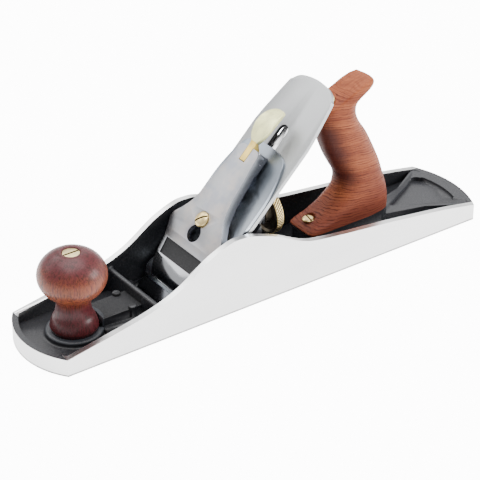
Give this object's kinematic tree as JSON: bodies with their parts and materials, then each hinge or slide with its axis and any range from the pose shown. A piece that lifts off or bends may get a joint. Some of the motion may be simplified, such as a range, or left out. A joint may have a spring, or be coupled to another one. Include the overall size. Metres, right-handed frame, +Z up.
{
  "type": "bench plane",
  "caption": "Metal bench plane with a slotted iron, cap iron and lever cap on an adjustable frog, wooden front knob and tote, depth and tilt adjusters.",
  "frame": {"origin": "middle of the sole's underside, which is also the middle of the part's footprint", "axes": "+Z up, square to the sole; +X along the sole from the toe to the heel; Y across, with y = 0 the plane of symmetry"},
  "size_m": [0.381, 0.073, 0.139],
  "materials": {
    "casting": "ground bright on the sole, sides, ends and rims; satin black japanning inside",
    "wood": "oiled figured hardwood, satin",
    "japanned_iron": "satin black japanning, seat and bed face ground bright",
    "steel": "turned and ground",
    "bright_steel": "bright, lightly brushed",
    "grey_steel": "matt grey",
    "spring_steel": "dark blue-grey temper",
    "blade_steel": "satin ground, polished edge",
    "blued_steel": "satin, slightly blue, bright edge",
    "satin_steel": "fine satin, polished nose",
    "brass": "turned, lightly polished",
    "pale_brass": "cast, satin"
  },
  "bodies": {
    "base": {"body_casting": "casting", "front_knob": "wood", "knob_stud": "steel", "knob_nut": "brass", "tote": "wood", "tote_stud": "steel", "tote_nut": "brass", "tote_toe_screw": "brass", "frog_pin_setscrews": "steel"},
    "frog_set": {"frog": "japanned_iron", "frog_pins": "steel", "frog_adjusting_plate": "steel", "frog_plate_screw": "steel", "depth_stud": "steel", "yoke_pin": "steel", "lateral_rivet": "steel", "lever_cap": "satin_steel", "lever_cap_screw": "brass", "cam_pin": "steel", "lever_cap_spring": "spring_steel", "spring_rivet": "steel"},
    "adjusting_screw": {"frog_adjusting_screw": "steel"},
    "wheel": {"depth_wheel": "brass"},
    "yoke_lever": {"yoke": "grey_steel"},
    "tilt_lever": {"lateral_lever": "bright_steel"},
    "tilt_roller": {"lateral_roller": "steel"},
    "blade": {"iron": "blade_steel", "cap_iron": "blued_steel", "cap_iron_screw": "steel"},
    "cap_cam": {"cam_lever": "pale_brass"}
  },
  "joints": [
    {"name": "frog_slide", "type": "slide", "parent": "base", "child": "frog_set", "axis": [1, 0, 0], "range_m": [-0.0015, 0.0005]},
    {"name": "adjusting_screw_turn", "type": "hinge", "parent": "frog_set", "child": "adjusting_screw", "pos_m": [0, 0, 0.011], "axis": [1, 0, 0], "range_deg": [-435, 145]},
    {"name": "iron_tilt", "type": "hinge", "parent": "frog_set", "child": "tilt_roller", "pos_m": [-0.0668, 0, 0.0099], "axis": [-0.7071, 0, 0.7071], "range_deg": [-1.03, 1.03]},
    {"name": "lateral_lever_turn", "type": "hinge", "parent": "frog_set", "child": "tilt_lever", "pos_m": [0.01947, 0, 0.09617], "axis": [-0.7071, 0, 0.7071], "range_deg": [-8, 8]},
    {"name": "iron_slide", "type": "slide", "parent": "tilt_roller", "child": "blade", "axis": [0.7071, 0, 0.7071], "range_m": [-0.0006, 0.0015]},
    {"name": "depth_wheel_turn", "type": "hinge", "parent": "frog_set", "child": "wheel", "pos_m": [0.014, 0, 0.047], "axis": [1, 0, 0], "range_deg": [-310, 775]},
    {"name": "yoke_turn", "type": "hinge", "parent": "frog_set", "child": "yoke_lever", "pos_m": [-0.00387, 0, 0.05869], "axis": [0, 1, 0], "range_deg": [-2.5, 6]},
    {"name": "cam_lever_turn", "type": "hinge", "parent": "frog_set", "child": "cap_cam", "pos_m": [0.00002, 0, 0.09581], "axis": [0, -1, 0], "range_deg": [0, 90]}
  ],
  "couplings": [
    {"joint": "adjusting_screw_turn", "follows": "frog_slide", "rad_per_m": 5026.5},
    {"joint": "lateral_lever_turn", "follows": "iron_tilt", "ratio": -7.7143},
    {"joint": "depth_wheel_turn", "follows": "iron_slide", "rad_per_m": 8976},
    {"joint": "yoke_turn", "follows": "iron_slide", "rad_per_m": 67.568}
  ]
}
